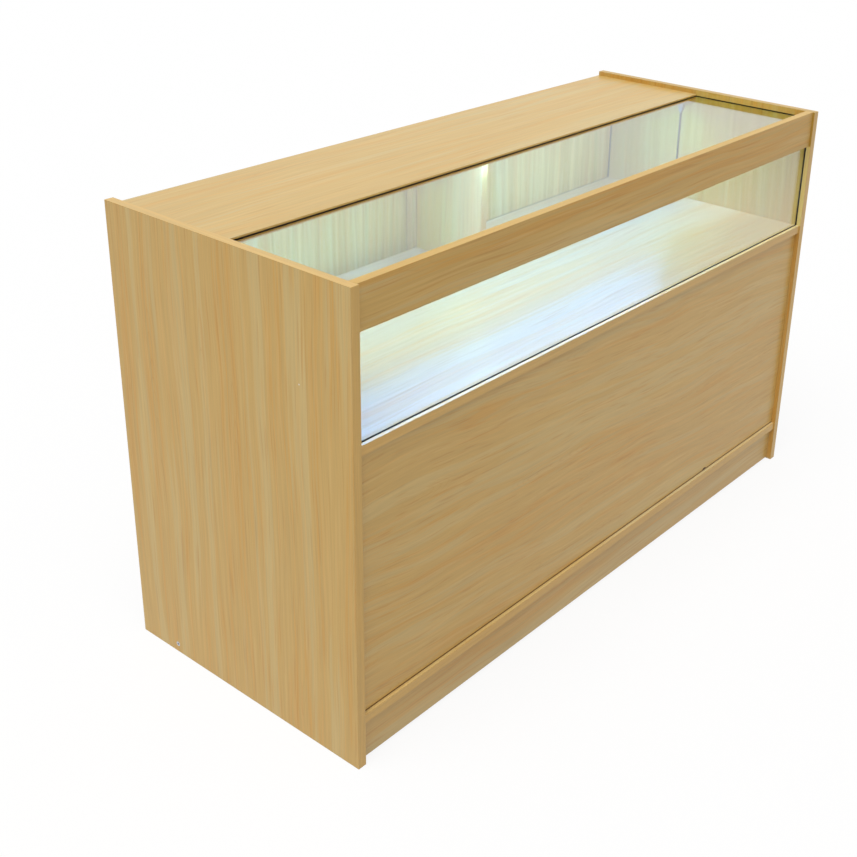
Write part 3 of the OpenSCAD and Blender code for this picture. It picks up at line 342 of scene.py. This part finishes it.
# the places that the grooves of the front pane and of the top pane take up, with a sliver of their
# lips, and their ends in X: bare chipboard darkened with painted shade
grooves = [((-0.2895, 0.6214), (-0.2820, 0.8286)), ((-0.2856, 0.8795), (0.0206, 0.8865))]
grooveEnd = 0.7490

marks = {
    "filler": {"board": "left_end_panel", "place": (-0.1813, 0.7039), "size": (0.0013, 0.0013),
               "colour": (228, 226, 216)},
    # a small dark dash in the joint line at the foot of the lower front panel
    "chip": {"board": "lower_front_panel", "place": (0.403, 0.1075), "size": (0.0072, 0.0034),
             "colour": (78, 46, 24)},
}
markOutline = {"scale": 260, "ragged": 1.2, "limit": 1.6}


def mapleTone(name, strength=1.0):
    # strength is how far a tone goes from the base, and at 1 it is as written
    return rgb(*(base + (part - base) * strength
                 for base, part in zip(mapleTones["base"], mapleTones[name])))


def printLayer(f, name, u, v, seed):
    along, across, shift, detail, rough = mapleLayers[name]
    return f.noise(f.vector(u * along, v * across, seed + shift), detail, rough)


def weigh(layers, weights, middle=0.0):
    # the layers, or how far each is from a middle, times their weights and added up
    total = None
    for name, weight in weights.items():
        part = (layers[name] - middle if middle else layers[name]) * weight
        total = part if total is None else total + part
    return total


def inBox(spot, low, high):
    # 1 where a place's Y and Z lie between those of two corners
    inY, inZ = (abs(spot.out(axis) - (start + end) / 2) < (end - start) / 2
                for axis, start, end in zip("YZ", low, high))
    return inY * inZ


def arches(f, u, v, seed):
    a = archLines
    scaled = (v + a["shift"] * seed) / a["width"]
    strip = scaled.sum("FLOOR", scaled)
    x = abs((scaled - strip) * 2 - 1) * a["spread"]
    chance = f.add("TexWhiteNoise", {"noise_dimensions": "1D"}, {"W": strip + seed})
    facing = (chance > a["turned"]) * 2 - 1
    sway = printLayer(f, "sway", u, v, seed) * a["sway"]
    phase = (u * facing + chance * a["start"]) * a["pitch"] + x ** a["bend"] * a["reach"] + sway
    line = abs(phase.sum("FRACT", phase) - 0.5) * 2
    along, across, shift, detail = a["runs"]
    runs = f.noise(f.vector(u * along, strip * across, seed + shift), detail)
    shown = f.smooth(runs, *a["runsFrom"]) * f.smooth(1 - x, 0.0, a["fade"])
    return line ** a["sharp"] * shown * (chance > a["bare"])


def wideAxis(look):
    return next(axis for axis in "xyz" if axis not in (look["grain"], look["through"]))


def followGrain(f, look, spot, face, isEdge):
    # how far a place is along the print and across it, where the print's lines wander
    p = maplePrint
    order = (look["grain"], wideAxis(look), look["through"])
    along, across, deep = (spot.out(axis.upper()) for axis in order)
    isEnd = abs(face.out(look["grain"].upper())) > faceLimit
    u = along + isEnd * (across - along)
    v = across + isEdge * (deep + look["seed"] - across) + along * look["tilt"]
    slow, quick = (printLayer(f, name, u, v, look["seed"]) - 0.5 for name in ("slow", "quick"))
    v = v + (slow * p["slowDrift"] + quick * p["quickDrift"]) * look["wave"]
    return u * look["short"], v


def printMaple(f, look, layers, arched, isEdge):
    # pale streaks with clear borders, warm ones between them, and thin lines in both
    p = maplePrint
    paleTone, warmTone, lineTone = (mapleTone(name, look["streak"])
                                    for name in ("pale", "warm", "line"))
    pale = f.smooth(weigh(layers, p["paleOf"]), *p["paleFrom"]) * p["paleShare"]
    warm = f.smooth(weigh(layers, p["warmOf"]), *p["warmFrom"]) * p["warmShare"]
    warm = warm * (1 - pale * (1 - p["warmOnPale"]))
    thin = f.smooth(layers["thin"], *p["thinFrom"]) * p["thinShare"]
    lines = f.smooth(layers["lines"], *p["linesFrom"]) * p["linesShare"]
    lines = (arched * p["archShare"] + lines) * (1 - isEdge * (1 - p["linesOnEdge"]))
    colour = f.mix(pale, mapleTone("base"), paleTone)
    colour = f.mix(warm, colour, warmTone)
    colour = f.mix(thin, colour, paleTone)
    colour = f.mix(lines, colour, lineTone)
    return f.mix(isEdge * p["edgeShare"], colour, mapleTone("edge"))


def tintBoard(f, look, layers, colour, spot, face, isEdge):
    # what the lit case, its shadows and the room do to the print's tones
    p = maplePrint
    onSide = face.out(look["through"].upper()) * (look["side"] or 1) > faceLimit
    tinted = onSide if look["side"] else 1 - isEdge
    if look["fade"]:
        axis, start, end = look["fade"]
        tinted = tinted * f.smooth(spot.out(axis), start, end)
    if look["within"]:
        tinted = tinted * inBox(spot, *look["within"])
    ahead = isEdge * (abs(face.out("Y")) > faceLimit)
    crisp = (layers["crisp"] - 0.5) * tinted * look["crisp"]
    shade = 1 + weigh(layers, p["shadeOf"], middle=0.5)
    tint = [shade * (1 + tinted * (onFace - 1) + ahead * (onEdge - 1) + crisp * swing)
            for onFace, onEdge, swing in zip(look["tint"], p["ahead"], p["swing"])]
    colour = f.mix(1.0, colour, f.vector(*tint), "MULTIPLY")
    if look["rear"]:
        start, end, tone = look["rear"]
        share = f.smooth(spot.out("Y"), start, end) * onSide
        colour = f.mix(share, colour, (*tone, 1.0), "MULTIPLY")
    for places, onThese in ((look["paintedLightStrips"], onSide), (look["edges"], isEdge)):
        for low, high, tone in places:
            here = inBox(spot, low, high) * onThese
            colour = f.mix(here, colour, (*tone, 1.0), "MULTIPLY")
    return colour


def drawJoints(f, look, node, colour, spot, isEdge):
    # the thin line of glue where the edge band meets the face, and a painted shadow line along the
    # seam at the foot
    p = maplePrint
    low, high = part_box(node)
    gap = None
    for axis in (look["grain"], wideAxis(look)):
        i = "xyz".index(axis)
        value = spot.out(axis.upper())
        for distance in (value - low[i], high[i] - value):
            gap = distance if gap is None else gap.sum("MINIMUM", gap, distance)
    glue = (abs(gap - p["glueIn"]) < p["glueHalf"]) * (1 - isEdge)
    colour = f.mix(glue * p["glueShare"], colour, mapleTone("glue"))
    if look["seam"]:
        foot = spot.out("Z") < low[2] + look["seam"]
        colour = f.mix(foot * p["seamShare"], colour, mapleTone("seam"))
    return colour


def drawMarks(f, look, node, colour, place, spot, isEdge):
    across = [axis for axis in "XYZ" if axis != look["through"].upper()]
    for mark in marks.values():
        if mark["board"] != node:
            continue
        a, b = ((spot.out(axis) - middle) / size
                for axis, middle, size in zip(across, mark["place"], mark["size"]))
        sockets = {0: place, "Scale": markOutline["scale"]}
        ragged = f.noise(f.add("VectorMath", {"operation": "SCALE"}, sockets))
        reach = a * a + b * b + ragged * markOutline["ragged"]
        share = (reach < markOutline["limit"]) * (1 - isEdge)
        colour = f.mix(share, colour, rgb(*mark["colour"]))
    return colour


def mapleFinish(node):
    look = {**plainBoard, **boardLooks[node]}
    p = maplePrint
    f = Finish("maple_" + node)
    place = f.place()
    spot = f.add("SeparateXYZ", {}, {0: place})
    face = f.add("SeparateXYZ", {}, {0: f.add("TexCoord").out("Normal")})
    isEdge = abs(face.out(look["through"].upper())) < faceLimit
    u, v = followGrain(f, look, spot, face, isEdge)
    layers = {name: printLayer(f, name, u, v, look["seed"])
              for name in ("broad", "streak", "thin", "fibre", "crisp", "lines")}

    colour = printMaple(f, look, layers, arches(f, u, v, look["seed"]), isEdge)
    colour = tintBoard(f, look, layers, colour, spot, face, isEdge)
    colour = drawJoints(f, look, node, colour, spot, isEdge)
    front, top = (inBox(spot, *corners) for corners in grooves)
    groove = (front + top > 0.5) * (abs(spot.out("X")) < grooveEnd)
    colour = f.mix(groove, colour, mapleTone("groove"))     # bare chipboard, darkened with painted shade
    colour = drawMarks(f, look, node, colour, place, spot, isEdge)

    uneven = weigh(layers, p["roughOf"], middle=0.5) * look["patchy"]
    relief = {"Height": weigh(layers, p["reliefOf"]), "Distance": look["relief"],
              "Strength": p["bump"]}
    sockets = {"Base Color": colour, "Normal": f.add("Bump", {}, relief),
               "Roughness": look["rough"] + uneven + groove * p["grooveRough"],
               "Specular IOR Level": look["gloss"]}
    if look["coat"]:
        sockets["Coat Weight"] = look["coat"] * (1 - isEdge) * (1 - groove)
        sockets["Coat Roughness"] = p["coatRough"]
    return f.finish(f.add("BsdfPrincipled", {}, sockets))


bodyOf = {name: body for body, members in frame["record"]["behaviour"]["bodies"].items()
          for name in members}

# the edges that boards and panes get, in metres, and the limits for cleaning up a mesh
arris = {"board": 0.0006, "boardSteps": 2, "pane": 0.0005, "paneSteps": 1}
cleaning = {
    "merge": 0.000001,                  # m
    "near": 0.00002,                    # m
    "flat": math.radians(0.5),
    "sharp": math.radians(35),
}


def cleanCopy(node):
    # the CAD node's loose triangles, joined and with flat faces whole
    piece = nodes[node].copy()
    piece.data = nodes[node].data.copy()
    piece.name = "dressed_" + node
    piece.parent = None
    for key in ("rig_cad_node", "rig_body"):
        del piece[key]
    bpy.context.scene.collection.objects.link(piece)
    bpy.ops.object.select_all(action="DESELECT")
    piece.select_set(True)
    bpy.context.view_layer.objects.active = piece
    bpy.ops.object.mode_set(mode="EDIT")
    bpy.ops.mesh.select_all(action="SELECT")
    bpy.ops.mesh.customdata_custom_splitnormals_clear()
    bpy.ops.mesh.remove_doubles(threshold=cleaning["merge"])
    bpy.ops.mesh.dissolve_limited(angle_limit=cleaning["flat"])
    bpy.ops.mesh.select_all(action="DESELECT")
    bpy.ops.object.mode_set(mode="OBJECT")
    return piece


def selectOuterEdges(piece):
    # the edges that run along the twelve edges of the piece's box
    points = [v.co for v in piece.data.vertices]
    low = [min(p[i] for p in points) for i in range(3)]
    high = [max(p[i] for p in points) for i in range(3)]

    def sides(point):
        return {(i, limit) for i in range(3) for limit in (low[i], high[i])
                if abs(point[i] - limit) < cleaning["near"]}

    found = [sides(p) for p in points]
    for edge in piece.data.edges:
        a, b = edge.vertices
        edge.select = len(found[a] & found[b]) >= 2


def breakEdges(piece, width, steps):
    bpy.context.tool_settings.mesh_select_mode = (False, True, False)
    selectOuterEdges(piece)
    bpy.ops.object.mode_set(mode="EDIT")
    bpy.ops.mesh.bevel(offset=width, segments=steps, clamp_overlap=False)
    bpy.ops.mesh.select_all(action="DESELECT")
    bpy.ops.object.mode_set(mode="OBJECT")


def keepInside(piece, node):
    # where a bevel meets a groove, its corner can stand a tenth of a millimetre proud
    low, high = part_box(node)
    for vertex in piece.data.vertices:
        vertex.co = [min(max(c, a), b) for c, a, b in zip(vertex.co, low, high)]


def setOn(piece, node, material):
    for place in piece.material_slots:
        place.material = material
    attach(piece, bodyOf[node])
    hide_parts(node)


def dressBoard(node, material):
    piece = cleanCopy(node)
    breakEdges(piece, arris["board"], arris["boardSteps"])
    keepInside(piece, node)
    bpy.ops.object.shade_smooth_by_angle(angle=cleaning["sharp"])
    even = piece.modifiers.new("even", "WEIGHTED_NORMAL")   # keeps the flat faces flat
    even.weight = 100
    even.keep_sharp = True
    bpy.ops.object.modifier_apply(modifier=even.name)
    setOn(piece, node, material)


def dressPane(node, material):
    piece = cleanCopy(node)
    breakEdges(piece, arris["pane"], arris["paneSteps"])    # ground edges are flat chamfers
    bpy.ops.object.shade_flat()
    setOn(piece, node, material)


def dressSmall(node, material):
    piece = cleanCopy(node)
    bpy.ops.object.shade_smooth_by_angle(angle=cleaning["sharp"])
    setOn(piece, node, material)


for name in boardLooks:
    dressBoard(name, mapleFinish(name))
print("boards finished")


# smear is how often the smears on the glass change in a metre, from where they start to show to
# where they are full, and how rough they are there
glass = {"tint": (0.965, 0.99, 0.98, 1.0), "ior": 1.5, "smear": (4, 4, 4),
         "smearFrom": (0.5, 0.9), "smearRough": 0.02}


def glassFinish(name):
    f = Finish(name)
    smear = f.smooth(f.noise(f.place(glass["smear"]), 3.0), *glass["smearFrom"])
    shader = f.add("BsdfPrincipled", {}, {
        "Base Color": glass["tint"], "IOR": glass["ior"], "Transmission Weight": 1.0,
        "Roughness": smear * glass["smearRough"]})
    clear = f.add("BsdfTransparent", {}, {"Color": glass["tint"]})
    ray = f.add("LightPath")
    through = ray.out("Is Shadow Ray") + ray.out("Is Diffuse Ray")
    return f.finish(f.add("MixShader", {}, {0: through, 1: shader, 2: clear}))


for name in ("top_glass", "front_glass"):
    dressPane(name, glassFinish("clear_" + name))
print("panes finished")


# the light's cover and chips glow, and the glow fades this far from the middle, in metres
lamp = {"glow": (0.42, 1.0, 2.1, 1.0), "strength": 51.0, "fade": (0.650, 0.695)}

# grain is how often a finish changes in a metre along X, Y and Z
hardware = {
    "steel": {"colour": (198, 199, 202), "rough": 0.34, "metal": 1.0, "grain": (60, 60, 1400)},
    "zinc": {"colour": (178, 180, 182), "rough": 0.30, "metal": 1.0, "grain": (500, 500, 500)},
    "aluminium": {"colour": (198, 200, 202), "rough": 0.36, "metal": 1.0,
                  "grain": (6, 1500, 1500)},
    "white_plastic": {"colour": (232, 231, 226), "rough": 0.45, "grain": (1200, 1200, 1200)},
    "grey_plastic": {"colour": (128, 132, 130), "rough": 0.48, "grain": (1200, 1200, 1200)},
    "black_plastic": {"colour": (14, 14, 14), "rough": 0.62, "grain": (1200, 1200, 1200)},
    "cap_plastic": {"colour": (205, 172, 118), "rough": 0.40, "grain": (1200, 1200, 1200)},
    "black_rubber": {"colour": (38, 38, 38), "rough": 0.75, "grain": (900, 900, 900)},
    "beech": {"colour": (214, 180, 136), "rough": 0.60, "grain": (60, 900, 900)},
    "opal_cover": {"colour": (240, 242, 240), "rough": 0.4, "grain": (900, 900, 900), "lit": True},
    "light_chip": {"colour": (243, 236, 200), "rough": 0.4, "grain": (900, 900, 900), "lit": True},
}

# the fine and the slow changes of tone and roughness that all the hardware has
wear = {"slow": (14, 14, 14), "toneOf": {"fine": 0.08, "slow": 0.10},
        "roughOf": {"fine": 0.12, "slow": 0.08}, "relief": 0.00002, "bump": 0.5}


def hardFinish(name, look):
    f = Finish(name)
    layers = {"fine": f.noise(f.place(look["grain"]), 2.0, 0.6),
              "slow": f.noise(f.place(wear["slow"]), 3.0)}
    shade = 1 + weigh(layers, wear["toneOf"], middle=0.5)
    relief = {"Height": layers["fine"], "Distance": wear["relief"], "Strength": wear["bump"]}
    sockets = {
        "Base Color": f.mix(1.0, rgb(*look["colour"]), f.vector(shade, shade, shade), "MULTIPLY"),
        "Roughness": look["rough"] + weigh(layers, wear["roughOf"], middle=0.5),
        "Metallic": look.get("metal", 0.0),
        "Normal": f.add("Bump", {}, relief)}
    if look.get("lit"):
        far = abs(f.add("SeparateXYZ", {}, {0: f.place()}).out("X"))
        lit = 1 - f.smooth(far, *lamp["fade"])
        sockets["Emission Color"] = f.mix(lit, (0, 0, 0, 1), lamp["glow"])
        sockets["Emission Strength"] = lamp["strength"]
    return f.finish(f.add("BsdfPrincipled", {}, sockets))


made = {name: hardFinish(name, look) for name, look in hardware.items()}
for part in frame["record"]["subparts"]:
    if part["material_slot"] in made:
        dressSmall(part["node"], made[part["material_slot"]])
print("hardware finished")


# a plain pale floor, a white world and one wide soft lamp
studio = {
    "sky": 0.50,
    "sun": 2.15,
    "sunFrom": (-0.255, -0.08, 0.63),
    "sunSize": 50,                      # degrees
    "floorSize": 28.0,                  # m
    "floorTone": rgb(203, 203, 203),
    "floorGlow": 1.08,
    "floorShare": 0.8,
}


def seenDirectly(f):
    # 1 for the camera and for what metal and glass show, 0 for light that falls on things
    ray = f.add("LightPath")
    return (ray.out("Is Camera Ray") + ray.out("Is Glossy Ray")
            + ray.out("Is Transmission Ray")) > 0.5


def addStudio(values):
    scene = bpy.context.scene
    scene.view_settings.view_transform = "Standard"
    scene.world = bpy.data.worlds.new("studio")
    f = Finish("studio", scene.world)
    level = values["sky"] + seenDirectly(f) * (1 - values["sky"])
    f.finish(f.add("Background", {}, {"Color": (1, 1, 1, 1), "Strength": level}), "OutputWorld")

    data = bpy.data.lights.new("keyLight", "SUN")
    data.energy = values["sun"]
    data.angle = math.radians(values["sunSize"])
    key = bpy.data.objects.new("keyLight", data)
    key.rotation_euler = Vector(values["sunFrom"]).to_track_quat("Z", "Y").to_euler()
    scene.collection.objects.link(key)

    bpy.ops.object.select_all(action="DESELECT")
    bpy.ops.mesh.primitive_plane_add(size=values["floorSize"])
    floor = bpy.context.object
    floor.name = "studioFloor"
    f = Finish("studioFloor")
    pale = f.add("BsdfDiffuse", {}, {"Color": values["floorTone"]})
    white = f.add("Emission", {}, {"Strength": values["floorGlow"]})
    share = seenDirectly(f) * values["floorShare"]
    floor.data.materials.append(f.finish(f.add("MixShader", {}, {0: share, 1: pale, 2: white})))


addStudio(studio)
print("studio lit")
